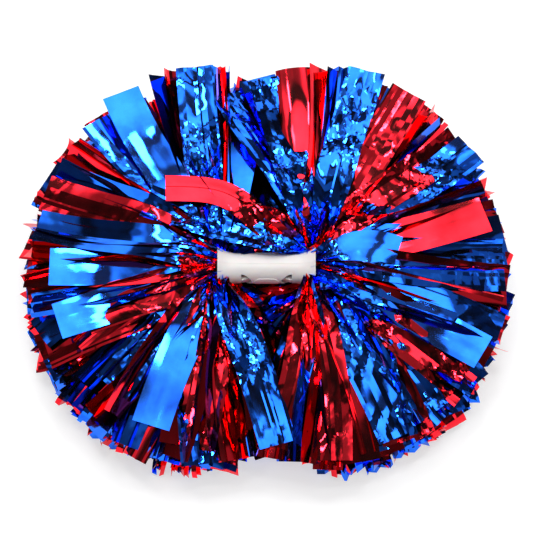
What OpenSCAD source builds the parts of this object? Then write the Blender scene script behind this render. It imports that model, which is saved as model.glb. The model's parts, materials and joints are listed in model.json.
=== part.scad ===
// Cheer pom pom: a white baton handle with a tuft of metallic foil strands at each end.
// X runs along the handle, Z is up, and the origin is on the surface it lies on, below the
// middle of the handle. Every strand is a tapered strip that leaves a hub at the handle's
// mouth and spreads to the rim. Strands that flex together form a lock.

/* [Handle] */
// Overall length of the handle, mouth to mouth
handle_length = 73.5; // [70:0.5:80]
// Outer diameter of the grip
grip_diameter = 22.5; // [21:0.5:24]
// Outer diameter of the flared mouths
mouth_diameter = 33; // [31:0.5:35]
// Length of the straight grip between the flares
grip_length = 42; // [40:0.5:44]
// Wall thickness of the tube
tube_wall = 1.5; // [1.2:0.1:1.8]
// Height of the handle's axis above the ground
axis_height = 62; // [60:0.5:66]

/* [Windows] */
// Distance of each window's straight edge from the middle of the handle
window_edge = 19; // [18.5:0.1:19.5]
// Radius of the windows' round side
window_radius = 8; // [7:0.25:8]
// Length of the oval pad between two windows
pad_length = 19; // [16:0.5:20]
// Width of the oval pad
pad_width = 10; // [8:0.5:11]
// Height of the pad and of the moulding ridge above the grip
pad_height = 0.4; // [0.2:0.1:0.6]

/* [End plugs] */
// Thickness of the plug's disc
plug_thickness = 3; // [2:0.5:3.5]
// Gap between the plug and the bore
plug_clearance = 0.15; // [0.1:0.05:0.3]
// Thickness of the two snap legs
leg_thickness = 1.6; // [1.4:0.1:1.8]
// Width of the snap legs and of their barbs
leg_width = 5; // [4:0.5:6]
// Diameter of the stem that holds the strands
stem_diameter = 5; // [4:0.5:5.5]

/* [Cable ties] */
// Width of the tie's band
tie_width = 4.8; // [4:0.2:5]
// Thickness of the tie's band
tie_thickness = 1.4; // [1.2:0.1:1.5]
// Height of the tie's head above its band
tie_head_height = 3.4; // [3:0.1:3.5]

/* [Strands] */
// Width of the foil strips
strip_width = 26; // [24:0.5:28]
// Envelope thickness of a crumpled strip at its cut end
rim_thickness = 2; // [1.5:0.1:2.4]
// Envelope thickness of a pleated strip at the hub
root_thickness = 0.5; // [0.4:0.05:0.6]
// Distance of the hubs from the middle of the handle
hub_offset = 42; // [41.5:0.25:43]
// Horizontal reach of the strands along the handle's axis
end_reach = 136; // [132:0.5:140]
// Horizontal reach of the strands across the handle
side_reach = 147; // [143:0.5:151]
// Height of the highest cut ends above the ground
rim_top = 50; // [46:0.5:52]

/* [Travel] */
// Angle through which a top lock folds up from rest
lift = 35; // [20:1:35]
// Angle through which a bottom lock hangs down from rest
droop = 25; // [15:1:25]

/* [Hidden] */

// Colours, and the two strip colours by number
WHITE_PLASTIC = "#f2efec";
TIE_PLASTIC = "#e6e6e2";
BLUE_FOIL = "#1f6fe0";
RED_FOIL = "#d8152c";
CORE_FOIL = "#5a2a6e";
BLUE = 0;
RED = 1;

// Directions of the two tufts along X
LEFT = -1;
RIGHT = 1;

// Handle
mouth_x = handle_length / 2;
grip_radius = grip_diameter / 2;
mouth_radius = mouth_diameter / 2;
bore_radius = grip_radius - tube_wall;
flare_start = grip_length / 2;
flare_run = mouth_x - flare_start;
flare_rise = mouth_radius - grip_radius;
flare_arc = (flare_run * flare_run + flare_rise * flare_rise) / (2 * flare_rise);
flare_steps = 12;
ridge_width = 0.5;

// Plugs, ties and cores, as distances from the middle of the handle
plug_face = 27;
leg_tip = 12.5;
barb_tip = 13.5;
barb_rise = 1.5;
edge_gap = 0.3;
cut_margin = 1;
tie_clearance = 0.15;
tie_overlap = 0.4;
tie_tail_rise = 1;
stem_end = hub_offset - 2;
stem_head_length = 1.5;
stem_head_diameter = 8;
gather_radius = 6;
gather_start = 29;
core_radius = 10;
core_face = 37.3;
tail_radius = 3;
tail_drop = 17.5;
tie_x = 34.1;
tie_head_length = 5.8;
tie_head_width = 7.5;
tie_tail_length = 2.5;

// Strands: each path starts at a root radius from its hub, and those that lie on the
// ground end in a flat run
root_radius = 13;
under_root_radius = 19;
curve_steps = 4;
curve_pull = 0.95;
flat_share = 0.25;
side_gap = 0.25;
column_gap = 0.4;
rim_layers = 8;
rim_pitch = (rim_top - rim_thickness) / (rim_layers - 1);

// Top locks: where they point, in degrees from the handle's own direction, with the
// angle at which each layer leaves the hub, from the highest layer to the lowest
lock_pitch = 36;
top_angles = [-90, -54, -18, 18, 54, 90];
top_slopes = [34, 22, 10, -2];
top_end_slope = -16;
top_columns = 3;

// Bottom locks fill the gaps between the top ones
bottom_angles = [-72, -36, 0, 36, 72];
bottom_slopes = [-14, -24, -34, -44];
bottom_columns = 3;

// Strands under the hand, which turn back below the handle
under_pitch = 30;
under_angles = [105, 135, 165, 195, 225, 255];
under_slopes = [-70, -75, -80];
under_middle_gap = 0.5;
under_layer_pitch = 4;

//----- Handle ------------------------------------------------------------------

// Outer radius of the tube at distance x from its middle
function tube_radius(x) =
  abs(x) <= flare_start
    ? grip_radius
    : grip_radius + flare_arc - sqrt(flare_arc * flare_arc - pow(abs(x) - flare_start, 2));

// Distances along the tube at which its profile has a point
function profile_stations() = concat(
  [for (i = [flare_steps:-1:1]) -flare_start - flare_run * i / flare_steps],
  [-flare_start, flare_start],
  [for (i = [1:flare_steps]) flare_start + flare_run * i / flare_steps]
);

// Turns a shape made along Z to lie along the handle's axis
module along_handle() {
  translate([0, 0, axis_height]) rotate([0, 90, 0]) children();
}

module tube_shell() {
  outside = [for (x = profile_stations()) [tube_radius(x), x]];
  inside = [for (x = profile_stations()) [tube_radius(x) - tube_wall, x]];
  inside_back = [for (i = [len(inside) - 1:-1:0]) inside[i]];
  along_handle() rotate_extrude($fn = 96) polygon(concat(outside, inside_back));
}

// A D-shaped window through both sides of the grip, with its straight edge outward
module window_cut(side) {
  cut_depth = grip_diameter + 2 * cut_margin;
  intersection() {
    translate([side * window_edge, cut_depth / 2, axis_height])
      rotate([90, 0, 0]) cylinder(r = window_radius, h = cut_depth, $fn = 64);
    translate([side > 0 ? 0 : -window_edge, -cut_depth, axis_height - window_radius])
      cube([window_edge, 2 * cut_depth, 2 * window_radius]);
  }
}

// An oval pad on each side of the grip, curved with it
module side_pads() {
  straight = (pad_length - pad_width) / 2;
  intersection() {
    along_handle() difference() {
      cylinder(r = grip_radius + pad_height, h = pad_length, center = true, $fn = 96);
      cylinder(r = bore_radius + tube_wall / 2, h = 2 * pad_length, center = true, $fn = 96);
    }
    union() {
      for (x = [-straight, straight])
        translate([x, 0, axis_height])
          rotate([90, 0, 0]) cylinder(d = pad_width, h = 2 * grip_diameter, center = true, $fn = 48);
      translate([0, 0, axis_height])
        cube([2 * straight, 2 * grip_diameter, pad_width], center = true);
    }
  }
}

// The fine ridge where the halves of the mould met, along the top and the bottom
module mould_ridge() {
  rise = pad_height / 2;
  outline = concat(
    [for (x = profile_stations()) [x, tube_radius(x) + rise]],
    [for (i = [len(profile_stations()) - 1:-1:0])
      [profile_stations()[i], tube_radius(profile_stations()[i]) - tube_wall / 2]]
  );
  for (turn = [0, 180])
    translate([0, 0, axis_height]) rotate([90 + turn, 0, 0])
      linear_extrude(ridge_width, center = true) polygon(outline);
}

module handle_tube() {
  color(WHITE_PLASTIC) difference() {
    union() {
      tube_shell();
      side_pads();
      mould_ridge();
    }
    window_cut(LEFT);
    window_cut(RIGHT);
  }
}

//----- End plugs, ties and cores --------------------------------------------------

// One snap leg with its barb, which catches on the straight edge of a window
module snap_leg() {
  outer = sqrt(pow(bore_radius - 2 * plug_clearance, 2) - pow(leg_width / 2, 2));
  inner = outer - leg_thickness;
  catch_x = window_edge - edge_gap;
  rotate([90, 0, 0]) linear_extrude(leg_width, center = true) polygon([
    [leg_tip, inner],
    [plug_face - plug_thickness / 2, inner],
    [plug_face - plug_thickness / 2, outer],
    [catch_x, outer],
    [catch_x, outer + barb_rise],
    [barb_tip, outer],
    [leg_tip, outer]
  ]);
}

module end_plug(side) {
  color(WHITE_PLASTIC) translate([0, 0, axis_height]) mirror([side < 0 ? 1 : 0, 0, 0]) union() {
    translate([plug_face - plug_thickness, 0, 0]) rotate([0, 90, 0])
      cylinder(r = bore_radius - plug_clearance, h = plug_thickness, $fn = 64);
    translate([plug_face - plug_thickness / 2, 0, 0]) rotate([0, 90, 0])
      cylinder(d = stem_diameter, h = stem_end - plug_face + plug_thickness / 2, $fn = 48);
    translate([stem_end - stem_head_length, 0, 0]) rotate([0, 90, 0])
      cylinder(d = stem_head_diameter, h = stem_head_length, $fn = 48);
    for (turn = [90, 270]) rotate([turn, 0, 0]) snap_leg();
  }
}

// The folded middles of all the strips of a tuft, gathered round the stem, with the tail
// of pleats that feeds the strands under the hand
module strand_core(side) {
  color(CORE_FOIL) translate([0, 0, axis_height]) mirror([side < 0 ? 1 : 0, 0, 0]) difference() {
    union() {
      translate([gather_start, 0, 0]) rotate([0, 90, 0])
        cylinder(r = gather_radius, h = hub_offset - gather_start, $fn = 64);
      intersection() {
        translate([hub_offset, 0, 0]) sphere(r = core_radius, $fn = 64);
        translate([core_face, -core_radius, -core_radius])
          cube([2 * core_radius, 2 * core_radius, 2 * core_radius]);
      }
      translate([hub_offset, 0, -tail_drop]) cylinder(r = tail_radius, h = tail_drop, $fn = 48);
    }
    translate([gather_start - cut_margin, 0, 0]) rotate([0, 90, 0])
      cylinder(d = stem_diameter, h = stem_end - gather_start + cut_margin, $fn = 48);
    translate([stem_end - stem_head_length, 0, 0]) rotate([0, 90, 0])
      cylinder(d = stem_head_diameter, h = stem_head_length, $fn = 48);
  }
}

module cable_tie(side) {
  bore = gather_radius + tie_clearance;
  band_radius = bore + tie_thickness;
  color(TIE_PLASTIC) translate([0, 0, axis_height]) mirror([side < 0 ? 1 : 0, 0, 0])
    translate([tie_x, 0, 0]) union() {
      rotate([0, 90, 0]) difference() {
        cylinder(r = band_radius, h = tie_width, center = true, $fn = 64);
        cylinder(r = bore, h = 2 * tie_width, center = true, $fn = 64);
      }
      translate([-tie_head_length / 2, -tie_head_width / 2, band_radius - tie_overlap])
        cube([tie_head_length, tie_head_width, tie_head_height + tie_overlap]);
      translate([-tie_width / 2, tie_head_width / 2 - tie_overlap, band_radius + tie_tail_rise])
        cube([tie_width, tie_tail_length + tie_overlap, tie_thickness]);
    }
}

//----- Strands ----------------------------------------------------------------------

// A point on the cubic curve from p0 with tangent t0 to p1 with tangent t1
function curve_point(p0, t0, p1, t1, s) =
  (2 * s * s * s - 3 * s * s + 1) * p0 + (s * s * s - 2 * s * s + s) * t0
  + (3 * s * s - 2 * s * s * s) * p1 + (s * s * s - s * s) * t1;

// The curved part of a strand's path in its own upright plane, as [outward, up from the hub]
function strand_curve(root, slope, end, end_slope) =
  let (
    start = root * [cos(slope), sin(slope)],
    pull = curve_pull * norm(end - start)
  )
  [for (i = [0:curve_steps])
    curve_point(start, pull * [cos(slope), sin(slope)],
                end, pull * [cos(end_slope), sin(end_slope)], i / curve_steps)];

// The path of a strand whose end stands free
function free_path(slope, reach, end_height) =
  strand_curve(root_radius, slope, [reach, end_height - axis_height], top_end_slope);

// The path of a strand that ends in a flat run, on the ground or on its neighbours
function flat_path(root, slope, reach, end_height) =
  let (drop = end_height - axis_height)
  concat(strand_curve(root, slope, [reach * (1 - flat_share), drop], 0), [[reach, drop]]);

// The direction of a path at one of its points. A flat run keeps its own direction.
function path_direction(path, i) =
  let (
    last = len(path) - 1,
    before = path[max(i - 1, 0)],
    after = path[min(i + 1, last)],
    step = len(path) > curve_steps + 1 && i >= curve_steps ? [1, 0] : after - before
  )
  step / norm(step);

// How far a strand may reach to one side at a point and stay inside its lock's sector
// while the lock turns about the hub by travel
function sector_room(point, pitch, travel) =
  let (
    angle = atan2(point[1], point[0]),
    steepest = max(abs(angle), abs(angle + travel))
  )
  tan(pitch / 2) * norm(point) * cos(steepest) - side_gap;

function column_width(point, pitch, travel, columns) =
  let (room = 2 * sector_room(point, pitch, travel) - (columns - 1) * column_gap)
  min(strip_width, room / columns);

// The four corners of a strand's section at one point of its path
function strand_section(path, i, pitch, travel, columns, column) =
  let (
    width = column_width(path[i], pitch, travel, columns),
    middle = (column - (columns - 1) / 2) * (width + column_gap),
    share = min(1, i / curve_steps),
    half = (root_thickness + (rim_thickness - root_thickness) * share) / 2,
    way = path_direction(path, i),
    up = [-way[1] * half, way[0] * half]
  )
  [for (corner = [[-1, -1], [1, -1], [1, 1], [-1, 1]])
    [path[i][0] + corner[1] * up[0], middle + corner[0] * width / 2,
     path[i][1] + corner[1] * up[1]]];

// One strand as a closed strip with a square section that widens to the rim
module strand(path, pitch, travel, columns, column) {
  steps = len(path) - 1;
  points = [for (i = [0:steps], corner = [0:3])
    strand_section(path, i, pitch, travel, columns, column)[corner]];
  sides = [for (i = [0:steps - 1], corner = [0:3], half = [0, 1])
    let (
      a = 4 * i + corner,
      b = 4 * i + (corner + 1) % 4
    )
    half == 0 ? [a, a + 4, b + 4] : [a, b + 4, b]];
  last = 4 * steps;
  ends = [[0, 1, 2], [0, 2, 3],
          [last, last + 2, last + 1], [last, last + 3, last + 2]];
  polyhedron(points = points, faces = concat(sides, ends));
}

// Puts a strand that points along X at the hub of one tuft and turns it outward
module at_hub(side, angle) {
  translate([side * hub_offset, 0, axis_height])
    rotate([0, 0, side > 0 ? angle : 180 - angle]) children();
}

// The horizontal reach of a lock that points at an angle from the handle's direction
function lock_reach(angle) = end_reach + (side_reach - end_reach) * pow(sin(angle), 2);

// The strips of one colour in a lock, with one path for each layer. Colours alternate
// from layer to layer and from column to column.
module lock_strands(side, angle, colour, paths, travel, columns) {
  swap = angle > 0 ? 1 : 0;
  at_hub(side, angle)
    for (layer = [0:len(paths) - 1], column = [0:columns - 1])
      if ((layer + column + swap) % 2 == colour)
        strand(paths[layer], lock_pitch, travel, columns, column);
}

module foil(colour) {
  color(colour == BLUE ? BLUE_FOIL : RED_FOIL) children();
}

module top_lock(side, number, colour) {
  angle = top_angles[number - 1];
  highest = rim_top - rim_thickness / 2;
  paths = [for (layer = [0:len(top_slopes) - 1])
    free_path(top_slopes[layer], lock_reach(angle), highest - layer * rim_pitch)];
  foil(colour) lock_strands(side, angle, colour, paths, lift, top_columns);
}

module bottom_lock(side, number, colour) {
  angle = bottom_angles[number - 1];
  highest = rim_thickness / 2 + (len(bottom_slopes) - 1) * rim_pitch;
  paths = [for (layer = [0:len(bottom_slopes) - 1])
    flat_path(root_radius, bottom_slopes[layer], lock_reach(angle), highest - layer * rim_pitch)];
  foil(colour) lock_strands(side, angle, colour, paths, -droop, bottom_columns);
}

// How far a strand under the hand reaches before its corner meets the other tuft's side
function under_reach(angle) =
  let (
    room = hub_offset - under_middle_gap,
    lean = abs(180 - angle),
    by_sector = room / (cos(lean) + tan(under_pitch / 2) * sin(lean)),
    by_width = (room - strip_width / 2 * sin(lean)) / cos(lean)
  )
  min(side_reach, max(by_sector, by_width));

module under_hand(side, colour) {
  highest = rim_thickness / 2 + (len(under_slopes) - 1) * under_layer_pitch;
  foil(colour)
    for (layer = [0:len(under_slopes) - 1], n = [0:len(under_angles) - 1])
      if ((layer + n) % 2 == colour)
        at_hub(side, under_angles[n])
          strand(flat_path(under_root_radius, under_slopes[layer], under_reach(under_angles[n]),
                           highest - layer * under_layer_pitch),
                 under_pitch, 0, 1, 0);
}

//----- Parts ------------------------------------------------------------------------

handle_tube();
end_plug(LEFT);  // end_plug_left
end_plug(RIGHT);  // end_plug_right
cable_tie(LEFT);  // cable_tie_left
cable_tie(RIGHT);  // cable_tie_right
strand_core(LEFT);  // strand_core_left
strand_core(RIGHT);  // strand_core_right
under_hand(LEFT, BLUE);  // under_hand_blue_left
under_hand(RIGHT, BLUE);  // under_hand_blue_right
under_hand(LEFT, RED);  // under_hand_red_left
under_hand(RIGHT, RED);  // under_hand_red_right
top_lock(LEFT, 1, BLUE);  // top_blue_left_1
top_lock(LEFT, 2, BLUE);  // top_blue_left_2
top_lock(LEFT, 3, BLUE);  // top_blue_left_3
top_lock(LEFT, 4, BLUE);  // top_blue_left_4
top_lock(LEFT, 5, BLUE);  // top_blue_left_5
top_lock(LEFT, 6, BLUE);  // top_blue_left_6
top_lock(LEFT, 1, RED);  // top_red_left_1
top_lock(LEFT, 2, RED);  // top_red_left_2
top_lock(LEFT, 3, RED);  // top_red_left_3
top_lock(LEFT, 4, RED);  // top_red_left_4
top_lock(LEFT, 5, RED);  // top_red_left_5
top_lock(LEFT, 6, RED);  // top_red_left_6
top_lock(RIGHT, 1, BLUE);  // top_blue_right_1
top_lock(RIGHT, 2, BLUE);  // top_blue_right_2
top_lock(RIGHT, 3, BLUE);  // top_blue_right_3
top_lock(RIGHT, 4, BLUE);  // top_blue_right_4
top_lock(RIGHT, 5, BLUE);  // top_blue_right_5
top_lock(RIGHT, 6, BLUE);  // top_blue_right_6
top_lock(RIGHT, 1, RED);  // top_red_right_1
top_lock(RIGHT, 2, RED);  // top_red_right_2
top_lock(RIGHT, 3, RED);  // top_red_right_3
top_lock(RIGHT, 4, RED);  // top_red_right_4
top_lock(RIGHT, 5, RED);  // top_red_right_5
top_lock(RIGHT, 6, RED);  // top_red_right_6
bottom_lock(LEFT, 1, BLUE);  // bottom_blue_left_1
bottom_lock(LEFT, 2, BLUE);  // bottom_blue_left_2
bottom_lock(LEFT, 3, BLUE);  // bottom_blue_left_3
bottom_lock(LEFT, 4, BLUE);  // bottom_blue_left_4
bottom_lock(LEFT, 5, BLUE);  // bottom_blue_left_5
bottom_lock(LEFT, 1, RED);  // bottom_red_left_1
bottom_lock(LEFT, 2, RED);  // bottom_red_left_2
bottom_lock(LEFT, 3, RED);  // bottom_red_left_3
bottom_lock(LEFT, 4, RED);  // bottom_red_left_4
bottom_lock(LEFT, 5, RED);  // bottom_red_left_5
bottom_lock(RIGHT, 1, BLUE);  // bottom_blue_right_1
bottom_lock(RIGHT, 2, BLUE);  // bottom_blue_right_2
bottom_lock(RIGHT, 3, BLUE);  // bottom_blue_right_3
bottom_lock(RIGHT, 4, BLUE);  // bottom_blue_right_4
bottom_lock(RIGHT, 5, BLUE);  // bottom_blue_right_5
bottom_lock(RIGHT, 1, RED);  // bottom_red_right_1
bottom_lock(RIGHT, 2, RED);  // bottom_red_right_2
bottom_lock(RIGHT, 3, RED);  // bottom_red_right_3
bottom_lock(RIGHT, 4, RED);  // bottom_red_right_4
bottom_lock(RIGHT, 5, RED);  // bottom_red_right_5
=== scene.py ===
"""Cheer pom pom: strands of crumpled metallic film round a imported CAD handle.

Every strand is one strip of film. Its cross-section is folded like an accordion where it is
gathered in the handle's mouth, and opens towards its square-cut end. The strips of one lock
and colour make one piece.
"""

import json
import math

import bpy
import numpy as np
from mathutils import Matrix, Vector


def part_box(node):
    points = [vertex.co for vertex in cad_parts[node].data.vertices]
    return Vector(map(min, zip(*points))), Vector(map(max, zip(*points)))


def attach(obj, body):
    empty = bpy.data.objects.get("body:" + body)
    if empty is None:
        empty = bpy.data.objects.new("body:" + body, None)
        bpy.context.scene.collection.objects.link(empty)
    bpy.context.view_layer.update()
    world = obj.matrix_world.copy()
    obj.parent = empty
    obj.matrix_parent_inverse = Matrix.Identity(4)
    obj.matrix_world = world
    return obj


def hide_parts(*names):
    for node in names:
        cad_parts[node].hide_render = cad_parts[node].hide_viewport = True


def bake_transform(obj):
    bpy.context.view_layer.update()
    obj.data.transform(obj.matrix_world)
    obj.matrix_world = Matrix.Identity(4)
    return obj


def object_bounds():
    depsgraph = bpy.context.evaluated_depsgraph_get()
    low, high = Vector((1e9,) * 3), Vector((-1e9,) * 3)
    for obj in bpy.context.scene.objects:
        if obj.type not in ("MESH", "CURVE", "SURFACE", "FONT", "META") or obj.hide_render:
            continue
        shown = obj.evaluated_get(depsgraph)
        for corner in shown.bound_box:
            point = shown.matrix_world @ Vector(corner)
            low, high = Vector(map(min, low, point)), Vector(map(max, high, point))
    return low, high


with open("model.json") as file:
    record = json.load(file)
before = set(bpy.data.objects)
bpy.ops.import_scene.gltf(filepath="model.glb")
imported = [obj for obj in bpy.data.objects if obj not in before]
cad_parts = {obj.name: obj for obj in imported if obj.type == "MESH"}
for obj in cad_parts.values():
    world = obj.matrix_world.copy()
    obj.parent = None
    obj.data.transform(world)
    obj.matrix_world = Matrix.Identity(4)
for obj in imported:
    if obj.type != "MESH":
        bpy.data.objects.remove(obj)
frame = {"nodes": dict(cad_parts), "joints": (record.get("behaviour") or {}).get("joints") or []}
cad_low, cad_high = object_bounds()

# ---------------------------------------------------------------- measures, in metres

SIDES = {"left": -1, "right": 1}
COLOURS = ("blue", "red")
JOINTS = {joint["name"]: joint for joint in frame["joints"]}
HUB = {side: Vector(JOINTS[f"top_flex_{side}_1"]["pos_m"]) for side in SIDES}

tube_low, tube_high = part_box("handle_tube")
AXIS_HEIGHT = (tube_low.z + tube_high.z) / 2
MOUTH_X = tube_high.x

# Film, and the rows and columns of a strip's mesh
FILM_WIDTH = 0.029
TOP_GRID = (92, 20)
FILL_GRID = (56, 14)
NECK_GRID = (22, 14)

# How far strips reach from the hub past the ends of the handle, behind it and in front of it
END_REACH = cad_high.x - HUB["right"].x - 0.004
BACK_REACH = cad_high.y + 0.009
BACK_LIFT = 0.017
BACK_LIMIT = cad_high.y + 0.0125
FRONT_REACH = cad_high.y - 0.003

# Levels: 0 is the highest layer of the tuft and 7 lies on the ground
RIM_TOP = 0.049
LEVEL_PITCH = 0.0068
TOP_SLOPE = 32
LEVEL_SLOPE = 12
GROUND_GAP = 0.0015

# Strips from these levels down hang at their ends, stand partly on edge, or lie near the ground
DROOP_LEVEL = 2.0
ON_EDGE_LEVEL = 3.5
GROUND_LEVEL = 5.5

# Locks of a tuft: the angle from one to the next, how many there are, where the first one
# points, and over what length a lock bends
LOCK_PITCH = 36
TOP_LOCKS = 6
BOTTOM_LOCKS = 5
FIRST_TOP_LOCK = -90
FIRST_BOTTOM_LOCK = -72

# The gathered neck: the bundle's radius at the hub, how far inside the hub a strip starts,
# the angle of its closed pleats, and the strips' farthest turn from the handle's direction
BUNDLE_RADIUS = 0.009
START_INSIDE = 0.006
CLOSED_PLEAT = 76
TURN_BACK = 96.0
LEAST_SPREAD = 0.3

# A strip's path: the pull of its two ends on the curve as shares of the span, the slope at its
# cut end in degrees, how many degrees lower the strips at the back start and how many higher
# they end, and how far the path wanders sideways and up in metres
NECK_PULL = 0.27
TIP_PULL = 0.46
TOP_LEVELS = 4
TOP_END_SLOPE = -16
LOW_END_SLOPE = -3
BACK_START_DROP = 7
BACK_END_RISE = 9
WANDER = (0.0022, 0.0012)
HEAVE = 0.0011

# The section of a strip, in degrees: the fold of a doubled strip and its uneven turning. As
# shares: how the pleats differ in size, how far their lean is evened out, how unevenly they open
DOUBLE_FOLD = 174
WOBBLE = 3
PLEAT_SIZES = (0.75, 1.1)
EVENED_OUT = 0.7
UNEVEN_OPENING = 0.10

# Creasedness: its mean and wave along a strip, and its share in the mouth and what is added
# outside. Creased mesh points move by up to a share of a cell, and by metres off the film
ROUGH_WAVE = (0.62, 0.5)
ROUGH_START = (0.35, 0.65)
POINT_SHIFT = 0.42
POINT_LIFT = 0.00006
SHARP_EDGE = 6

# Nothing comes nearer to the ground than this, and each strip of a piece stays a step above it
LOWEST = 0.0004
LOWEST_STEP = 0.0001

# ---------------------------------------------------------------- numbers made by formula


def smooth(x):
    """0 below 0, 1 above 1, and an S-shaped rise between them."""
    x = np.clip(x, 0.0, 1.0)
    return x * x * (3 - 2 * x)


def triangle(x):
    """A triangle wave between -1 and 1 with period 1."""
    return 4 * np.abs(x - np.floor(x + 0.5)) - 1


def unit(vectors):
    """Vectors of length 1 that keep their directions."""
    return vectors / np.linalg.norm(vectors, axis=-1, keepdims=True)


def level_height(level):
    """Height of the cut end of a strip at a level."""
    return max(RIM_TOP - level * LEVEL_PITCH, GROUND_GAP)


def level_slope(level):
    """Angle in degrees at which a strip at a level leaves the hub."""
    return TOP_SLOPE - LEVEL_SLOPE * level


def reach(angle):
    """Horizontal reach of a strip that points at an angle from the handle's direction."""
    across = BACK_REACH if angle > 0 else FRONT_REACH
    return END_REACH + (across - END_REACH) * math.sin(math.radians(angle)) ** 2


# ---------------------------------------------------------------- the kinds of strip

# open_by: share of the length at which the pleats have opened. tip_fold: angle of the pleats
# that stay to the cut end. crumple: how creased the film is at its neck and along its end.
# until: share of the length at which the end's creasing takes over. curl: how far the film
# rolls up across its width. fold: angle of one lengthwise crease.
KIND_VALUES = ("open_by", "tip_fold", "crumple", "until", "curl", "fold")
KINDS = {
    "flat": (0.42, 1, (0.34, 0.02), 0.42, 4, 0),
    "wrinkled": (0.6, 5, (0.45, 0.14), 0.6, 14, 0),
    "crumpled": (0.7, 8, (0.6, 0.62), 0.8, 20, 10),
    "pleated": (1.0, 46, (0.28, 0.05), 0.5, 10, 0),
    "folded": (0.55, 2, (0.34, 0.04), 0.5, 6, 62),
    "rolled": (0.6, 2, (0.34, 0.04), 0.5, 130, 0),
    "sliver": (1.0, 66, (0.3, 0.10), 0.6, 0, 0),
}


def strip(side, angle, level, colour, kind, **changes):
    """What one strip is, before its mesh is made.

    Angles are in degrees: "angle" from the handle's direction, "roll" and "twist" about the
    strip, "sweep" sideways at its end. "reach" and "lift" are in metres.
    """
    made = {
        "side": side,
        "angle": angle,
        "level": level,
        "colour": colour,
        "reach": reach(angle),
        "roll": 0.0,
        "twist": 0.0,
        "sweep": 0.0,
        "lift": 0.0,
        "grid": FILL_GRID,
        "path": centre_line,
        **dict(zip(KIND_VALUES, KINDS[kind])),
    }
    made.update(changes)
    return made


# ---------------------------------------------------------------- the shape of one strip


def bezier(points, rows):
    """Points along a curve with four control points."""
    t = np.linspace(0, 1, rows + 1)[:, None]
    return (
        (1 - t) ** 3 * points[0]
        + 3 * (1 - t) ** 2 * t * points[1]
        + 3 * (1 - t) * t**2 * points[2]
        + t**3 * points[3]
    )


def centre_line(s, rng):
    """Points along the middle of a strip, from inside the handle's mouth to its cut end."""
    side = SIDES[s["side"]]
    hub = np.array(HUB[s["side"]])
    angle = math.radians(s["angle"])
    widest = s.get("turn_back", TURN_BACK)
    start_angle = math.radians(max(-widest, min(widest, s["angle"])))
    at_back = max(math.sin(angle), 0.0) ** 2 * max(1 - max(s["level"], 0) / TOP_LEVELS, 0.0)
    slope = math.radians(s.get("start_slope", level_slope(s["level"]) - BACK_START_DROP * at_back))
    out = np.array([math.cos(start_angle) * side, math.sin(start_angle), 0.0])
    first = out * math.cos(slope) + np.array([0, 0, math.sin(slope)])
    around = np.array([0.0, first[1], first[2]])
    bundle = BUNDLE_RADIUS * around / max(np.linalg.norm(around), LEAST_SPREAD)
    start = hub + bundle + np.array([-side * START_INSIDE, 0, 0])
    tip = hub + s["reach"] * np.array([math.cos(angle) * side, math.sin(angle), 0.0])
    tip[1] = min(tip[1], BACK_LIMIT)
    tip[2] = level_height(s["level"]) + s["lift"] + BACK_LIFT * at_back
    end_angle = angle + math.radians(s["sweep"])
    usual = TOP_END_SLOPE + BACK_END_RISE * at_back if s["level"] < TOP_LEVELS else LOW_END_SLOPE
    end_slope = math.radians(s.get("end_slope", usual))
    last = np.array([math.cos(end_angle) * side, math.sin(end_angle), 0]) * math.cos(end_slope)
    last[2] = math.sin(end_slope)
    span = np.linalg.norm(tip - start)
    neck_pull = s.get("neck_pull", NECK_PULL)
    tip_pull = s.get("tip_pull", TIP_PULL)
    bend = [start, start + first * span * neck_pull, tip - last * span * tip_pull, tip]
    line = bezier(bend, s["grid"][0])
    t = np.linspace(0, 1, s["grid"][0] + 1)[:, None]
    sideways = np.array([-math.sin(angle) * side, math.cos(angle), 0.0])
    wander = rng.normal(0, WANDER[0]) * np.sin(math.pi * t)
    wander = wander + rng.normal(0, WANDER[1]) * np.sin(2 * math.pi * t)
    heave = rng.normal(0, HEAVE) * np.sin(3 * math.pi * t)
    return line + wander * sideways + heave * np.array([0, 0, 1.0])


# How far a strip of the neck lies from the handle's axis, up to the mouth
NECK_RADII = (0.0045, 0.0060, 0.0075)


def neck_line(s, rng):
    """Points along a strip of the neck, which lies at an angle round the handle's axis."""
    side = SIDES[s["side"]]
    low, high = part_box("strand_core_" + s["side"])
    inner, outer = (low.x, high.x) if side > 0 else (high.x, low.x)
    around = math.radians(s["angle"])
    radial = np.array([0.0, math.cos(around), math.sin(around)])
    axis = np.array([0.0, 0.0, AXIS_HEIGHT])
    mouth = MOUTH_X * side
    bend = [axis + radial * r for r in (*NECK_RADII, s["reach"])]
    for point, x in zip(bend, (inner, (inner + mouth) / 2, mouth, outer + side * s["lift"])):
        point[0] = x
    return bezier(bend, s["grid"][0])


def pleat_signs(columns, rng):
    """Which way each column of film leans in the gathered neck, in runs that cancel out."""
    signs = np.empty(columns)
    column, way = 0, rng.choice([-1.0, 1.0])
    while column < columns:
        run = int(rng.integers(1, 2 + columns // 4))
        signs[column : column + run] = way * rng.uniform(*PLEAT_SIZES)
        column += run
        way = -way
    return signs - signs.mean() * EVENED_OUT


# Spacing of the creases in crumpled film, with the slope of the facets between them. Their turn
# against the strip in radians with its spread, and how far and how often they wind, as spacings
CREASE_SIZES = ((0.038, 0.26), (0.024, 0.34), (0.0150, 0.30), (0.0095, 0.14))
CREASE_TURN = (0.5, 0.55)
CREASE_BEND = 0.22
CREASE_WAVE = 2.7


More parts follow.
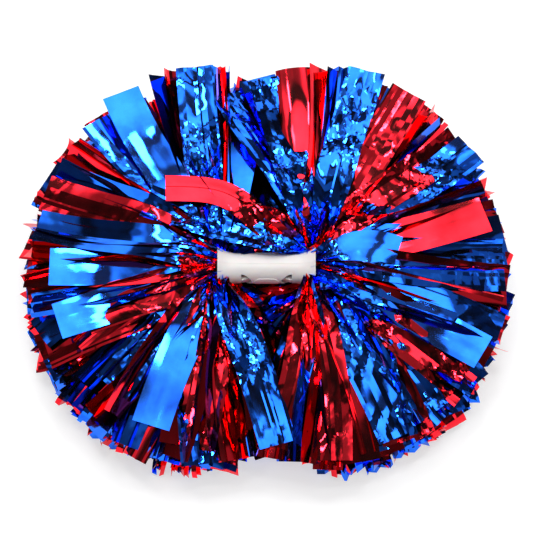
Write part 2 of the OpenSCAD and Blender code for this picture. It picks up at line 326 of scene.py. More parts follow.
def creases(along, across, rng):
    """Height of crumpled film at points of the flat strip, with facets of several sizes."""
    height = np.zeros_like(along)
    for size, slope in CREASE_SIZES:
        turn = rng.normal(*CREASE_TURN) * rng.choice([-1.0, 1.0])
        wave = np.sin(2 * math.pi * (along / (size * CREASE_WAVE) + rng.random()))
        bend = CREASE_BEND * size * wave
        place = (across + bend) * math.cos(turn) + along * math.sin(turn)
        height += size * slope / 4 * triangle(place / size + rng.random())
    return height


def strip_mesh(s, rng):
    """Points, creasedness and flat coordinates of one strip."""
    rows, columns = s["grid"]
    line = s["path"](s, rng)
    share = np.linspace(0, 1, rows + 1)
    ahead = unit(np.gradient(line, axis=0))
    level_side = unit(np.cross(ahead, np.array([0, 0, 1.0])))
    upward = np.cross(level_side, ahead)
    wobble = rng.normal(0, WOBBLE) * np.sin(2 * math.pi * (share * rng.uniform(0.6, 1.2) + rng.random()))
    rolled = 1.0 if s["path"] is neck_line else smooth(share * 3)
    turn = np.radians(s["roll"] * rolled + s["twist"] * smooth(share * 1.4 - 0.2) + wobble)[:, None]
    side_way = level_side * np.cos(turn) + upward * np.sin(turn)
    up_way = upward * np.cos(turn) - level_side * np.sin(turn)

    film = np.linspace(-0.5, 0.5, columns + 1)
    middle = (film[1:] + film[:-1]) / 2
    gather = 1 - smooth(share / s["open_by"])
    pleat = np.radians(s["tip_fold"] + (CLOSED_PLEAT - s["tip_fold"]) * gather)
    uneven = np.sin(2 * math.pi * (share * 1.7 + rng.random()))
    pleat = pleat * (1 + UNEVEN_OPENING * gather * uneven)
    opening = smooth(share * 2.2 - 0.2)
    lean = pleat[:, None] * pleat_signs(columns, rng)[None, :]
    lean = lean + np.radians(s["curl"]) * opening[:, None] * middle[None, :] * rng.choice([-1, 1])
    fold_at = rng.uniform(-0.2, 0.2)
    lean = lean + np.radians(s["fold"]) * opening[:, None] * np.sign(middle - fold_at)[None, :]
    if "double" in s:
        lean = lean + np.radians(DOUBLE_FOLD) * opening[:, None] * (middle > s["double"])[None, :]
    column = FILM_WIDTH / columns
    x = np.concatenate([np.zeros((rows + 1, 1)), np.cumsum(np.cos(lean) * column, axis=1)], axis=1)
    h = np.concatenate([np.zeros((rows + 1, 1)), np.cumsum(np.sin(lean) * column, axis=1)], axis=1)
    x -= x.mean(axis=1, keepdims=True)
    h -= h.mean(axis=1, keepdims=True)
    points = line[:, None, :] + x[:, :, None] * side_way[:, None, :] + h[:, :, None] * up_way[:, None, :]

    length = np.concatenate([[0], np.cumsum(np.linalg.norm(np.diff(line, axis=0), axis=1))])
    along = np.repeat(length[:, None], columns + 1, axis=1)
    across = np.repeat((film * FILM_WIDTH)[None, :], rows + 1, axis=0)
    neck, end = s["crumple"]
    rough = end + (neck - end) * (1 - smooth(share / s["until"]))
    wave = np.sin(2 * math.pi * (share * rng.uniform(1.3, 2.6) + rng.random()))
    rough = rough * (ROUGH_WAVE[0] + ROUGH_WAVE[1] * wave)
    rough = rough * (ROUGH_START[0] + ROUGH_START[1] * smooth(share * 4))
    rough = np.repeat(rough[:, None], columns + 1, axis=1)

    # Creased film is made of uneven facets, so its mesh points are shifted within the film
    shift = rng.uniform(-POINT_SHIFT, POINT_SHIFT, (2, rows + 1, columns + 1)) * np.clip(rough, 0, 1)
    shift[0, [0, -1], :] = 0
    shift[1, :, [0, -1]] = 0
    points = points + shift[0][..., None] * np.gradient(points, axis=0)
    points = points + shift[1][..., None] * np.gradient(points, axis=1)
    along = along + shift[0] * length[-1] / rows
    across = across + shift[1] * column
    settled = smooth(share * 8)[:, None]
    height = creases(along, across, rng) + rng.normal(0, POINT_LIFT, along.shape)
    lifted = height * rough * settled
    points = points + lifted[..., None] * up_way[:, None, :]
    flat = np.stack([along, across + rng.uniform(0, 3)], axis=-1)
    return points, rough, flat


def strip_faces(rows, columns, rng):
    """Corner numbers of the two triangles of each cell, cut along a random diagonal."""
    grid = np.arange((rows + 1) * (columns + 1)).reshape(rows + 1, columns + 1)
    a, b, c, d = (g.ravel() for g in (grid[:-1, :-1], grid[1:, :-1], grid[1:, 1:], grid[:-1, 1:]))
    one = rng.random(a.size) < 0.5
    first = np.where(one, np.stack([a, b, c]), np.stack([a, b, d]))
    second = np.where(one, np.stack([a, c, d]), np.stack([b, c, d]))
    return np.concatenate([first, second], axis=1).T


# ---------------------------------------------------------------- pieces


def piece(name, strips, material, seed):
    """One mesh object made of strips."""
    points, rough, flat, faces = [], [], [], []
    count = 0
    for n, s in enumerate(strips):
        rng = np.random.default_rng([seed, n])
        p, r, f = strip_mesh(s, rng)
        p[..., 2] = np.maximum(p[..., 2], LOWEST + LOWEST_STEP * n)
        points.append(p.reshape(-1, 3))
        rough.append(r.reshape(-1))
        flat.append(f.reshape(-1, 2))
        faces.append(strip_faces(*s["grid"], rng) + count)
        count += r.size
    points, rough, flat, faces = (np.concatenate(a) for a in (points, rough, flat, faces))
    mesh = bpy.data.meshes.new(name)
    mesh.vertices.add(len(points))
    mesh.vertices.foreach_set("co", points.astype(np.float32).ravel())
    mesh.loops.add(faces.size)
    mesh.loops.foreach_set("vertex_index", faces.astype(np.int32).ravel())
    mesh.polygons.add(len(faces))
    mesh.polygons.foreach_set("loop_start", np.arange(0, faces.size, 3, dtype=np.int32))
    mesh.polygons.foreach_set("use_smooth", np.ones(len(faces), bool))
    mesh.update(calc_edges=True)
    mesh.validate()
    creased = mesh.attributes.new("creased", "FLOAT", "POINT")
    creased.data.foreach_set("value", rough.astype(np.float32))
    layer = mesh.uv_layers.new(name="film")
    layer.data.foreach_set("uv", flat[faces.ravel()].astype(np.float32).ravel())
    mesh.set_sharp_from_angle(angle=math.radians(SHARP_EDGE))
    mesh.materials.append(material)
    made = bpy.data.objects.new(name, mesh)
    bpy.context.scene.collection.objects.link(made)
    return made


# ---------------------------------------------------------------- materials


class Nodes:
    """Short calls for building one material's node tree."""

    def __init__(self, name):
        self.material = bpy.data.materials.new(name)
        self.material.use_nodes = True
        self.tree = self.material.node_tree
        self.shader = self.tree.nodes["Principled BSDF"]

    def new(self, kind, **settings):
        node = self.tree.nodes.new(kind)
        for key, value in settings.items():
            setattr(node, key, value)
        return node

    def link(self, a, b):
        self.tree.links.new(a, b)

    def math(self, operation, a, b):
        node = self.new("ShaderNodeMath", operation=operation)
        for socket, value in zip(node.inputs, (a, b)):
            if isinstance(value, (int, float)):
                socket.default_value = value
            else:
                self.link(value, socket)
        return node.outputs[0]

    def ramp(self, factor, stops):
        node = self.new("ShaderNodeValToRGB")
        node.color_ramp.elements[0].position, node.color_ramp.elements[0].color = stops[0]
        node.color_ramp.elements[1].position, node.color_ramp.elements[1].color = stops[-1]
        for position, colour in stops[1:-1]:
            node.color_ramp.elements.new(position).color = colour
        self.link(factor, node.inputs["Fac"])
        return node.outputs["Color"]


def facet_tilt(nodes, film, along, across, strength):
    """A small random tilt for each facet of creased film, as a vector."""
    scaled = nodes.new("ShaderNodeVectorMath", operation="MULTIPLY")
    scaled.inputs[1].default_value = (1 / along, 1 / across, 1)
    nodes.link(film, scaled.inputs[0])
    cells = nodes.new("ShaderNodeTexVoronoi", voronoi_dimensions="2D", feature="F1")
    cells.inputs["Scale"].default_value = 1
    nodes.link(scaled.outputs[0], cells.inputs["Vector"])
    centred = nodes.new("ShaderNodeVectorMath", operation="SUBTRACT")
    centred.inputs[1].default_value = (0.5, 0.5, 0.5)
    nodes.link(cells.outputs["Color"], centred.inputs[0])
    sized = nodes.new("ShaderNodeVectorMath", operation="SCALE")
    sized.inputs["Scale"].default_value = strength
    nodes.link(centred.outputs[0], sized.inputs[0])
    return sized.outputs[0]


def foil(name, dark, base, light):
    """Coloured metallised film: a mirror whose creased parts are split into small facets."""
    nodes = Nodes(name)
    film = nodes.new("ShaderNodeUVMap", uv_map="film").outputs["UV"]
    creased = nodes.new("ShaderNodeAttribute", attribute_name="creased").outputs["Fac"]

    swirl = nodes.new("ShaderNodeTexNoise", noise_dimensions="2D")
    swirl.inputs["Scale"].default_value = 90
    nodes.link(film, swirl.inputs["Vector"])
    bent = nodes.new("ShaderNodeVectorMath", operation="MULTIPLY_ADD")
    bent.inputs[1].default_value = (0.012, 0.006, 0)
    nodes.link(swirl.outputs["Color"], bent.inputs[0])
    nodes.link(film, bent.inputs[2])
    wide = facet_tilt(nodes, bent.outputs[0], 0.0120, 0.0050, 0.08)
    fine = facet_tilt(nodes, bent.outputs[0], 0.0300, 0.0016, 0.035)
    tilt = nodes.new("ShaderNodeVectorMath", operation="ADD")
    nodes.link(wide, tilt.inputs[0])
    nodes.link(fine, tilt.inputs[1])
    scaled = nodes.new("ShaderNodeVectorMath", operation="SCALE")
    nodes.link(tilt.outputs[0], scaled.inputs[0])
    nodes.link(creased, scaled.inputs["Scale"])
    normal = nodes.new("ShaderNodeVectorMath", operation="ADD")
    nodes.link(nodes.new("ShaderNodeNewGeometry").outputs["Normal"], normal.inputs[0])
    nodes.link(scaled.outputs[0], normal.inputs[1])
    final = nodes.new("ShaderNodeVectorMath", operation="NORMALIZE")
    nodes.link(normal.outputs[0], final.inputs[0])

    cloud = nodes.new("ShaderNodeTexNoise", noise_dimensions="2D")
    cloud.inputs["Scale"].default_value = 60
    cloud.inputs["Detail"].default_value = 3
    nodes.link(film, cloud.inputs["Vector"])
    colour = nodes.ramp(cloud.outputs["Fac"], [(0.3, dark), (0.5, base), (0.72, light)])
    nodes.link(colour, nodes.shader.inputs["Base Color"])
    gloss = nodes.math("MULTIPLY_ADD", cloud.outputs["Fac"], 0.08)
    gloss.node.inputs[2].default_value = 0.02
    nodes.link(gloss, nodes.shader.inputs["Roughness"])
    nodes.link(final.outputs[0], nodes.shader.inputs["Normal"])
    nodes.shader.inputs["Metallic"].default_value = 1.0
    nodes.shader.inputs["Coat Weight"].default_value = 0.08
    nodes.shader.inputs["Coat Roughness"].default_value = 0.35
    return nodes.material


def plastic(name, colour, shade, roughness, bump_size):
    """Moulded plastic with faint clouding and a fine uneven gloss."""
    nodes = Nodes(name)
    place = nodes.new("ShaderNodeTexCoord").outputs["Object"]
    cloud = nodes.new("ShaderNodeTexNoise")
    cloud.inputs["Scale"].default_value = 55
    cloud.inputs["Detail"].default_value = 4
    nodes.link(place, cloud.inputs["Vector"])
    nodes.link(
        nodes.ramp(cloud.outputs["Fac"], [(0.35, shade), (0.65, colour)]),
        nodes.shader.inputs["Base Color"],
    )
    grain = nodes.new("ShaderNodeTexNoise")
    grain.inputs["Scale"].default_value = bump_size
    grain.inputs["Detail"].default_value = 3
    nodes.link(place, grain.inputs["Vector"])
    bump = nodes.new("ShaderNodeBump")
    bump.inputs["Strength"].default_value = 0.12
    bump.inputs["Distance"].default_value = 0.0004
    nodes.link(grain.outputs["Fac"], bump.inputs["Height"])
    nodes.link(bump.outputs["Normal"], nodes.shader.inputs["Normal"])
    gloss = nodes.math("MULTIPLY_ADD", cloud.outputs["Fac"], 0.15)
    gloss.node.inputs[2].default_value = roughness
    nodes.link(gloss, nodes.shader.inputs["Roughness"])
    nodes.shader.inputs["Subsurface Weight"].default_value = 0.15
    nodes.shader.inputs["Subsurface Scale"].default_value = 0.002
    return nodes.material


FOILS = {
    "blue": foil(
        "blue_foil", (0.010, 0.120, 0.84, 1), (0.013, 0.148, 0.90, 1), (0.017, 0.178, 0.96, 1)
    ),
    "red": foil("red_foil", (0.80, 0.012, 0.026, 1), (0.87, 0.016, 0.032, 1), (0.93, 0.020, 0.038, 1)),
}
WHITE = plastic("white_plastic", (0.83, 0.79, 0.77, 1), (0.79, 0.745, 0.73, 1), 0.28, 900)
TIE = plastic("tie_plastic", (0.74, 0.74, 0.71, 1), (0.68, 0.68, 0.65, 1), 0.35, 1200)


def set_material(node, material):
    """Gives a CAD node's object a material in each of its slots."""
    target = frame["nodes"][node]
    if not target.material_slots:
        target.data.materials.append(material)
    for place in target.material_slots:
        place.material = material


# ---------------------------------------------------------------- the strips of each lock

TOP_KINDS = ["wrinkled", "wrinkled", "crumpled", "pleated", "folded", "flat", "rolled"]
LOW_KINDS = ["sliver", "sliver", "pleated", "folded", "sliver", "wrinkled"]

# Layers of a lock: their levels, and the offsets of their strips from the lock's middle
TOP_LAYERS = [0.9, 1.7, 2.5, 3.3]
TOP_OFFSETS = [-12, 0, 12]
BOTTOM_LAYERS = [4, 5, 6, 7]
BOTTOM_OFFSETS = [-15, -7.5, 0, 7.5, 15]

# Random spread in the layers: degrees, but metres of reach and steps of level
SPREAD = {"angle": 3.0, "roll": 16, "twist": 18, "sweep": 7, "reach": 0.0025, "level": 0.22}

# Cut ends that hang, on the ground side and in the middle: their slopes, the pull, and how much
# shorter the strips reach. Then the rolls of strips on edge, and the share kept of a turn there
LOW_ENDS = {"slopes": (-78, -30), "pull": 0.20, "shorter": 0.003}
MIDDLE_ENDS = {"slopes": (-50, -22), "pull": 0.25, "shorter": 0.004}
EDGE_ROLLS = [15, 40]
CALMED = 0.4


def fill(side, centre, levels, offsets, kinds, rng, swap):
    """Strips for one sector, in layers from the highest to the lowest."""
    made = []
    for row, level in enumerate(levels):
        for n, offset in enumerate(offsets):
            angle = centre + offset + rng.normal(0, SPREAD["angle"])
            kind = kinds[rng.integers(len(kinds))]
            shape = {turn: rng.normal(0, SPREAD[turn]) for turn in ("roll", "twist", "sweep")}
            far = reach(angle) + rng.normal(0, SPREAD["reach"])
            if level > DROOP_LEVEL:
                ends = LOW_ENDS if level > ON_EDGE_LEVEL else MIDDLE_ENDS
                shape["end_slope"] = rng.uniform(*ends["slopes"])
                shape["tip_pull"] = ends["pull"]
                shape["twist"] *= CALMED
                far -= ends["shorter"]
            if level > ON_EDGE_LEVEL:
                edge_on = rng.choice([-1, 1]) * rng.choice(EDGE_ROLLS)
                shape["roll"] = edge_on + shape["roll"] if level < GROUND_LEVEL else CALMED * edge_on
            height = level + rng.normal(0, SPREAD["level"])
            colour = COLOURS[(row + n + swap) % 2]
            made.append(strip(side, angle, height, colour, kind, reach=far, **shape))
    return made


# Changes for two strips of the right tuft that lie across the left one, behind the handle
RED_ACROSS = {
    "turn_back": 139,
    "start_slope": 15,
    "end_slope": 0,
    "sweep": 24,
    "lift": 0.028,
    "neck_pull": 0.56,
    "tip_pull": 0.38,
    "twist": -6,
    "double": 0.2,
    "crumple": (0.9, 0.03),
    "until": 0.68,
}
BLUE_ACROSS = {
    "turn_back": 158,
    "start_slope": 14,
    "end_slope": -1,
    "lift": 0.026,
    "open_by": 0.4,
    "crumple": (0.8, 0.7),
}

# Changes for a strip that lies nearly level, so that its whole face shines
LEVEL = {
    "start_slope": 30,
    "neck_pull": 0.30,
    "tip_pull": 0.60,
    "end_slope": -3,
    "lift": 0.011,
}

# The strips that lie on top: side, direction, reach, level, colour, kind, roll and changes
TOP_STRIPS = [
    ("left", 64, 0.157, -0.3, "blue", "flat", 2, {"sweep": 4, "end_slope": -3}),
    ("left", 55, 0.150, 0.6, "blue", "wrinkled", -10, {}),
    ("left", 76, 0.162, 0.1, "blue", "folded", 30, {}),
    ("left", 81, 0.163, 0.3, "red", "rolled", -8, {}),
    ("left", 85.5, 0.162, -0.1, "blue", "crumpled", 6, {"tip_fold": 8, "crumple": (1.0, 0.5)}),
    ("left", 90, 0.163, 0.4, "red", "pleated", 0, {}),
    ("left", 93, 0.164, 0.5, "blue", "folded", 20, {}),
    ("left", 43, 0.146, 0.3, "red", "pleated", 0, {}),
    ("left", 35, 0.143, 0.2, "blue", "folded", -24, {}),
    ("left", 27, 0.141, 0.0, "red", "wrinkled", 12, {}),
    ("left", 16, 0.137, -0.3, "blue", "flat", -10, {"fold": 18}),
    ("left", 8.5, 0.139, 0.2, "red", "folded", 18, {}),
    ("left", 0.5, 0.121, -0.4, "blue", "flat", 2, LEVEL),
    ("left", 1.5, 0.139, 0.5, "red", "flat", -8, {}),
    ("left", -8, 0.058, -0.9, "red", "crumpled", 6, {"lift": 0.013, "crumple": (0.9, 0.6)}),
    ("left", -10, 0.137, 0.4, "blue", "pleated", 0, {}),
    ("left", -20, 0.122, -0.1, "blue", "flat", 4, LEVEL),
    ("left", -17, 0.130, 0.5, "red", "rolled", 12, {}),
    ("left", -22, 0.100, -0.6, "red", "wrinkled", -5, {"lift": 0.006, "until": 0.6}),
    ("left", -33, 0.114, -0.4, "red", "rolled", 10, {"sweep": -8}),
    ("left", -43, 0.128, 0.2, "blue", "pleated", 0, {}),
    ("left", -51, 0.117, -0.3, "blue", "crumpled", 0, {"tip_fold": 6}),
    ("left", -58, 0.132, 0.1, "red", "folded", -14, {}),
    ("left", -70.5, 0.132, -0.4, "blue", "flat", 0, LEVEL),
    ("left", -80, 0.137, 0.1, "red", "flat", 6, {}),
    ("left", -86, 0.139, -0.1, "red", "crumpled", 0, {"tip_fold": 8, "crumple": (1.1, 0.5)}),
    ("left", -91, 0.143, 0.2, "blue", "folded", 16, {}),
    ("left", -97, 0.147, 0.5, "red", "pleated", 0, {}),
    ("left", -104, 0.126, 0.3, "red", "flat", -6, {}),
    ("left", -110.5, 0.145, -0.4, "blue", "wrinkled", 8, {"crumple": (1.0, 0.5)}),
    ("right", 154, 0.131, -0.6, "red", "flat", 6, RED_ACROSS),
    ("right", 160, 0.141, 0.1, "blue", "crumpled", -6, BLUE_ACROSS),
    ("right", 117, 0.158, 0.0, "blue", "wrinkled", -16, {"crumple": (1.0, 0.5)}),
    ("right", 112, 0.160, 0.7, "red", "wrinkled", 10, {}),
    ("right", 107.5, 0.163, 0.6, "blue", "flat", -10, {}),
    ("right", 106, 0.158, -0.3, "blue", "wrinkled", -14, {"crumple": (1.1, 0.6)}),
    ("right", 97.5, 0.162, 0.0, "red", "flat", 0, {"curl": 40}),
    ("right", 90, 0.163, 0.3, "red", "folded", 20, {}),
    ("right", 84.5, 0.162, 0.1, "blue", "pleated", 0, {}),
    ("right", 77.5, 0.157, -0.5, "blue", "crumpled", 4, {**LEVEL, "tip_fold": 2, "crumple": (0.5, 0.5)}),
    ("right", 65, 0.157, 0.1, "red", "wrinkled", -10, {}),
    ("right", 57, 0.153, 0.3, "red", "folded", 24, {}),
    ("right", 46, 0.110, -0.6, "red", "crumpled", 0, {"lift": 0.006, "crumple": (1.0, 0.5)}),
    ("right", 41, 0.150, 0.0, "blue", "crumpled", 0, {"tip_fold": 10}),
    ("right", 28.5, 0.143, -0.1, "red", "folded", -12, {}),
    ("right", 19, 0.130, -0.5, "red", "flat", 2, LEVEL),
    ("right", 14, 0.141, 0.5, "blue", "flat", -10, {}),
    ("right", 6.5, 0.138, 0.2, "blue", "rolled", 0, {}),
    ("right", 5, 0.056, -0.9, "blue", "flat", -8, {"until": 0.7, "sweep": -10, "lift": 0.022}),
    ("right", 0, 0.137, -0.2, "blue", "wrinkled", 4, {}),
    ("right", -5, 0.139, 0.4, "red", "flat", 10, {}),
    ("right", -12, 0.137, 0.1, "red", "pleated", 0, {}),
    ("right", -19, 0.141, 0.0, "blue", "wrinkled", -4, {}),
    ("right", -29, 0.137, -0.1, "blue", "flat", 4, LEVEL),
    ("right", -30, 0.100, -0.6, "blue", "crumpled", 8, {"tip_fold": 6, "lift": 0.006}),
    ("right", -40, 0.134, -0.2, "red", "crumpled", 0, {"crumple": (1.0, 0.6)}),
    ("right", -46, 0.060, -0.8, "blue", "folded", 10, {"lift": 0.016, "sweep": -25}),
    ("right", -53, 0.137, 0.3, "blue", "crumpled", 0, {}),
    ("right", -61, 0.138, 0.2, "blue", "pleated", 0, {}),
    ("right", -67, 0.141, -0.1, "blue", "wrinkled", 8, {"crumple": (1.0, 0.4)}),
    ("right", -77, 0.145, 0.2, "red", "folded", 10, {}),
    ("right", -87, 0.148, -0.2, "red", "wrinkled", -12, {}),
    ("right", -96, 0.149, 0.2, "red", "pleated", 0, {}),
    ("right", -104, 0.140, 0.5, "red", "wrinkled", 14, {}),
]
HERO_STRIPS = [
    strip(side, angle, level, colour, kind, reach=far, roll=roll, grid=TOP_GRID, **changes)
    for side, angle, far, level, colour, kind, roll, changes in TOP_STRIPS
]


def lock_of(angle):
    """Number of the top lock that a strip at an angle belongs to."""
    return int(np.clip(round((angle - FIRST_TOP_LOCK) / LOCK_PITCH), 0, TOP_LOCKS - 1)) + 1


def add_lock(kind, side, number, strips, seed):
    """The blue and the red piece of one lock."""
    for tone, colour in enumerate(COLOURS):
        chosen = [s for s in strips if s["colour"] == colour]
        node = f"{kind}_{colour}_{side}_{number}"
        made = piece(f"foil_{node}", chosen, FOILS[colour], seed + tone)
        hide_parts(node)
        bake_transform(made)


# Where the random draws of each side's locks and of its strips under the hand start
LOCK_SEEDS = {"left": 100, "right": 500}
UNDER_SEEDS = {"left": 60, "right": 90}


def build_tuft(side):
    """The top and bottom locks of one tuft."""
    seed = LOCK_SEEDS[side]
    for number in range(1, TOP_LOCKS + 1):
        centre = FIRST_TOP_LOCK + LOCK_PITCH * (number - 1)
        rng = np.random.default_rng(seed + number)
        strips = fill(side, centre, TOP_LAYERS, TOP_OFFSETS, TOP_KINDS, rng, number % 2)
        strips += [s for s in HERO_STRIPS if s["side"] == side and lock_of(s["angle"]) == number]
        add_lock("top", side, number, strips, seed * 10 + number * 2)
    for number in range(1, BOTTOM_LOCKS + 1):
        centre = FIRST_BOTTOM_LOCK + LOCK_PITCH * (number - 1)
        rng = np.random.default_rng(seed + 50 + number)
        strips = fill(side, centre, BOTTOM_LAYERS, BOTTOM_OFFSETS, LOW_KINDS, rng, number % 2)
        add_lock("bottom", side, number, strips, seed * 10 + 200 + number * 2)


# Layers under the hand: their levels and directions, and how far a strip reaches at 90 degrees
# from the handle's direction and how much less per degree beyond
UNDER_LAYERS = [3.4, 4.6, 5.8]
UNDER_ANGLES = [110, 128, 150, 170, -110, -128, -150, -170]
UNDER_REACH = 0.148
UNDER_SHORTER = 0.0006

# Strips that pass under the grip from each hub: direction, level and colour
UNDER_GRIP = [
    (-174, 3.7, "red"),
    (-162, 4.0, "red"),
    (-150, 4.3, "blue"),
    (-139, 3.9, "red"),
    (176, 4.2, "red"),
    (163, 3.9, "blue"),
    (150, 4.4, "red"),
]


def build_under_hand(side):
    """The strips between the two hubs, which stay with the handle."""
    seed = UNDER_SEEDS[side]
    rng = np.random.default_rng(seed)
    strips = []
    for row, level in enumerate(UNDER_LAYERS):
        for n, angle in enumerate(UNDER_ANGLES):
            lean = abs(angle) - 90
            strips.append(
                strip(
                    side,
                    angle + rng.normal(0, 4),
                    level + rng.normal(0, 0.2),
                    COLOURS[(row + n) % 2],
                    TOP_KINDS[rng.integers(len(TOP_KINDS))],
                    reach=UNDER_REACH - UNDER_SHORTER * lean,
                    turn_back=140.0,
                    roll=rng.normal(0, 14),
                    twist=rng.normal(0, 15),
                    sweep=rng.normal(0, 8),
                )
            )
    for angle, level, colour in UNDER_GRIP:
        strips.append(
            strip(
                side,
                angle,
                level,
                colour,
                "wrinkled",
                reach=0.112,
                turn_back=178.0,
                start_slope=-42,
                end_slope=0,
                roll=rng.normal(0, 10),
                grid=TOP_GRID,
            )
        )
    for tone, colour in enumerate(COLOURS):
        chosen = [s for s in strips if s["colour"] == colour]
        node = f"under_hand_{colour}_{side}"
        made = piece(f"foil_{node}", chosen, FOILS[colour], seed * 10 + tone)
        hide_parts(node)
        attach(made, "handle")


# The neck: how far from the axis each layer's strips end, how many it has, and how far a layer
# is turned from the one before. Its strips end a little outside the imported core
NECK_LAYERS = [0.007, 0.011, 0.015]
NECK_STRIPS = 8
NECK_TURN = 20
NECK_OUTSIDE = 0.006


def build_neck(side):
    """The middles of the strands, gathered in the bore and spreading at the mouth."""
    colour = {"left": "red", "right": "blue"}[side]
    rng = np.random.default_rng(31)
    strips = []
    for layer, far in enumerate(NECK_LAYERS):
        for n in range(NECK_STRIPS):
            around = n * 360 / NECK_STRIPS + layer * NECK_TURN + rng.normal(0, 5)
            turn = 90 - around * SIDES[side]
            strips.append(
                strip(
                    side,
                    around,
                    0,
                    colour,
                    "pleated",
                    path=neck_line,
                    reach=far,
                    roll=turn,
                    lift=NECK_OUTSIDE,
                    grid=NECK_GRID,
                )
            )
    node = f"strand_core_{side}"
    made = piece(f"foil_neck_{side}", strips, FOILS[colour], 900)
    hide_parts(node)
    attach(made, "handle")


for side in SIDES:
    build_tuft(side)
    build_under_hand(side)
    build_neck(side)

for node in ("handle_tube", "end_plug_left", "end_plug_right"):
    set_material(node, WHITE)
for node in ("cable_tie_left", "cable_tie_right"):
    set_material(node, TIE)

# ---------------------------------------------------------------- studio


def soft_box(name, direction, distance, size, brightness):
    """A rectangular light that faces the object from a direction, with its surface's brightness."""
    data = bpy.data.lights.new(name, "AREA")
    data.shape = "RECTANGLE"
    data.size, data.size_y = size
    data.energy = brightness * math.pi * size[0] * size[1]
    made = bpy.data.objects.new(name, data)
    way = Vector(direction).normalized()
    made.location = Vector((0, 0, AXIS_HEIGHT)) + way * distance
    made.rotation_euler = (-way).to_track_quat("-Z", "Y").to_euler()
    bpy.context.scene.collection.objects.link(made)


# A round soft box hangs above the object with a ring light outside it. Degrees from its centre:
# where the box ends, over how many degrees it fades, and where the ring starts and ends
OVERHEAD = Vector((0.0, 0.34, 0.94))
BOX_EDGE = 19
BOX_FADE = 8
RING_EDGES = (25, 38)
LIT = 3.0
# The box's light: the part that is even and the part that fades towards its edge
BOX_EVEN = 0.3
BOX_FADED = 0.7
# Noise that breaks up the ring and the dark room: from and to which values, and what they become
RING_PATCHES = (0.44, 0.58, 0.10, 0.9)
ROOM_PATCHES = (0.40, 0.75, 0.01, 0.16)
# Dimmer panels all round, in rows: height in degrees, first turn, half-angle, share of the light
PANEL_ROWS = [(8, 22, 12, 0.5), (34, 0, 8, 0.10)]
PANELS_IN_ROW = 8
# Small bright lamps, which give pale glints: direction, half-angle and brightness
LAMPS = [((0.27, 0.30, 0.92), 3.5, 4.0), ((-0.25, 0.40, 0.90), 3.5, 4.0), ((0.02, 0.05, 1.0), 3.0, 4.0)]
# Narrow strip lights, which draw thin bright lines: name, direction, distance and size in metres
SPARK_BRIGHTNESS = 28.0
SPARKS = [
    ("spark_left", (-0.33, 0.18, 0.90), 1.3, (0.07, 0.26)),
    ("spark_right", (0.33, 0.18, 0.90), 1.3, (0.07, 0.26)),
    ("spark_front_left", (-0.55, -0.35, 0.70), 1.3, (0.07, 0.20)),
    ("spark_front_right", (0.55, -0.35, 0.70), 1.3, (0.07, 0.20)),
    ("spark_back_left", (-0.22, 0.66, 0.70), 1.3, (0.07, 0.22)),
    ("spark_back_right", (0.26, 0.60, 0.72), 1.3, (0.07, 0.22)),
    ("spark_front", (-0.10, -0.05, 0.99), 1.3, (0.07, 0.22)),
]


class Sky:
    """Short calls for building the world's node tree."""

    def __init__(self):
        self.world = bpy.data.worlds.new("studio")
        self.world.use_nodes = True
        self.tree = self.world.node_tree
        self.look = self.tree.nodes.new("ShaderNodeTexCoord").outputs["Generated"]

    def math(self, operation, *values):
        node = self.tree.nodes.new("ShaderNodeMath")
        node.operation = operation
        for socket, value in zip(node.inputs, values):
            if isinstance(value, (int, float)):
                socket.default_value = value
            else:
                self.tree.links.new(value, socket)
        return node.outputs[0]

    def remap(self, value, low, high, to_low, to_high):
        node = self.tree.nodes.new("ShaderNodeMapRange")
        node.inputs["From Min"].default_value = low
        node.inputs["From Max"].default_value = high
        node.inputs["To Min"].default_value = to_low
        node.inputs["To Max"].default_value = to_high
        self.tree.links.new(value, node.inputs["Value"])
        return node.outputs["Result"]

    def disc(self, direction, half_angle, brightness=1.0, fade=1.5):
        """A round panel that fades out over its outer degrees."""
        dot = self.tree.nodes.new("ShaderNodeVectorMath")
        dot.operation = "DOT_PRODUCT"
        dot.inputs[1].default_value = Vector(direction).normalized()
        self.tree.links.new(self.look, dot.inputs[0])
        edge = math.cos(math.radians(half_angle))
        inside = math.cos(math.radians(half_angle - fade))
        return self.remap(dot.outputs["Value"], edge, inside, 0.0, brightness)


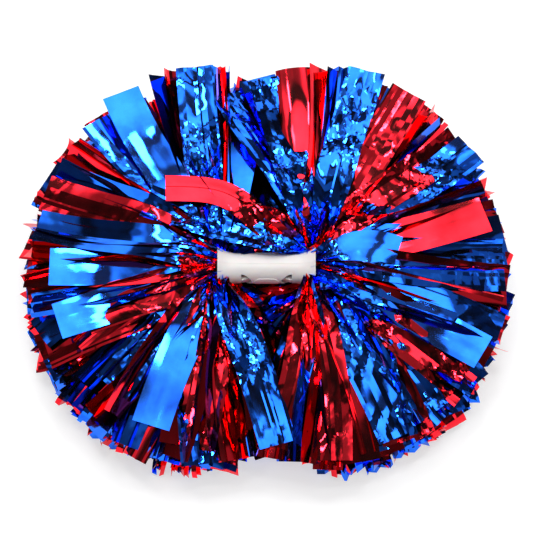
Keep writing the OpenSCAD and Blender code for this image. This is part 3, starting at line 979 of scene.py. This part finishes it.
def soft_sky(scene):
    """A dark room with a round soft box, a broken ring light, lamps and panels."""
    sky = Sky()
    noise = sky.tree.nodes.new("ShaderNodeTexNoise")
    noise.inputs["Scale"].default_value = 2.6
    noise.inputs["Detail"].default_value = 1.0
    sky.tree.links.new(sky.look, noise.inputs["Vector"])
    patches = sky.remap(noise.outputs["Fac"], *RING_PATCHES)
    inner, outer = RING_EDGES
    ring = sky.math("SUBTRACT", sky.disc(OVERHEAD, outer), sky.disc(OVERHEAD, inner))
    even = sky.disc(OVERHEAD, BOX_EDGE, BOX_EVEN)
    faded = sky.disc(OVERHEAD, BOX_EDGE, BOX_FADED, BOX_FADE)
    box = sky.math("ADD", even, faded)
    total = sky.math("ADD", sky.math("MULTIPLY", ring, patches), box)
    for lamp in LAMPS:
        total = sky.math("ADD", total, sky.disc(*lamp))
    for height, first, half_angle, share in PANEL_ROWS:
        for n in range(PANELS_IN_ROW):
            turn = math.radians(first + n * 360 / PANELS_IN_ROW)
            rise = math.tan(math.radians(height))
            panel = sky.disc((math.cos(turn), math.sin(turn), rise), half_angle, share)
            total = sky.math("ADD", total, panel)
    dim = sky.remap(noise.outputs["Fac"], *ROOM_PATCHES)
    lit = sky.math("ADD", sky.math("MULTIPLY", total, LIT), dim)
    background = sky.tree.nodes["Background"]
    background.inputs["Color"].default_value = (1, 1, 1, 1)
    sky.tree.links.new(lit, background.inputs["Strength"])
    scene.world = sky.world


# The camera: its elevation, distance, the width it sees at the object, its sensor in mm, and
# what it looks at from the handle's middle
CAMERA_ELEVATION = 70
CAMERA_DISTANCE = 4.0
CAMERA_WIDTH = 0.400
SENSOR_WIDTH = 36
LOOK_AT = (0, 0.0008, AXIS_HEIGHT + 0.0018)
FLOOR_HALF = 4


def studio():
    """The pale floor, the lights and the camera."""
    scene = bpy.context.scene
    floor_mesh = bpy.data.meshes.new("floor")
    corners = [(x * FLOOR_HALF, y * FLOOR_HALF, 0) for x, y in ((-1, -1), (1, -1), (1, 1), (-1, 1))]
    floor_mesh.from_pydata(corners, [], [(0, 1, 2, 3)])
    floor = bpy.data.objects.new("floor", floor_mesh)
    scene.collection.objects.link(floor)
    paper = Nodes("floor_paper")
    paper.shader.inputs["Base Color"].default_value = (0.6, 0.6, 0.6, 1)
    paper.shader.inputs["Roughness"].default_value = 0.8
    paper.shader.inputs["Emission Color"].default_value = (1, 1, 1, 1)
    paper.shader.inputs["Emission Strength"].default_value = 0.55
    floor_mesh.materials.append(paper.material)

    soft_sky(scene)
    for name, direction, distance, size in SPARKS:
        soft_box(name, direction, distance, size, SPARK_BRIGHTNESS)

    camera_data = bpy.data.cameras.new("camera")
    camera = bpy.data.objects.new("camera", camera_data)
    scene.collection.objects.link(camera)
    camera_data.sensor_width = SENSOR_WIDTH
    camera_data.lens = SENSOR_WIDTH * CAMERA_DISTANCE / CAMERA_WIDTH
    elevation = math.radians(CAMERA_ELEVATION)
    back = Vector((0, -math.cos(elevation), math.sin(elevation)))
    camera.location = Vector(LOOK_AT) + back * CAMERA_DISTANCE
    camera.rotation_euler = (-back).to_track_quat("-Z", "Y").to_euler()
    scene.camera = camera
    scene.view_settings.view_transform = "Standard"


studio()
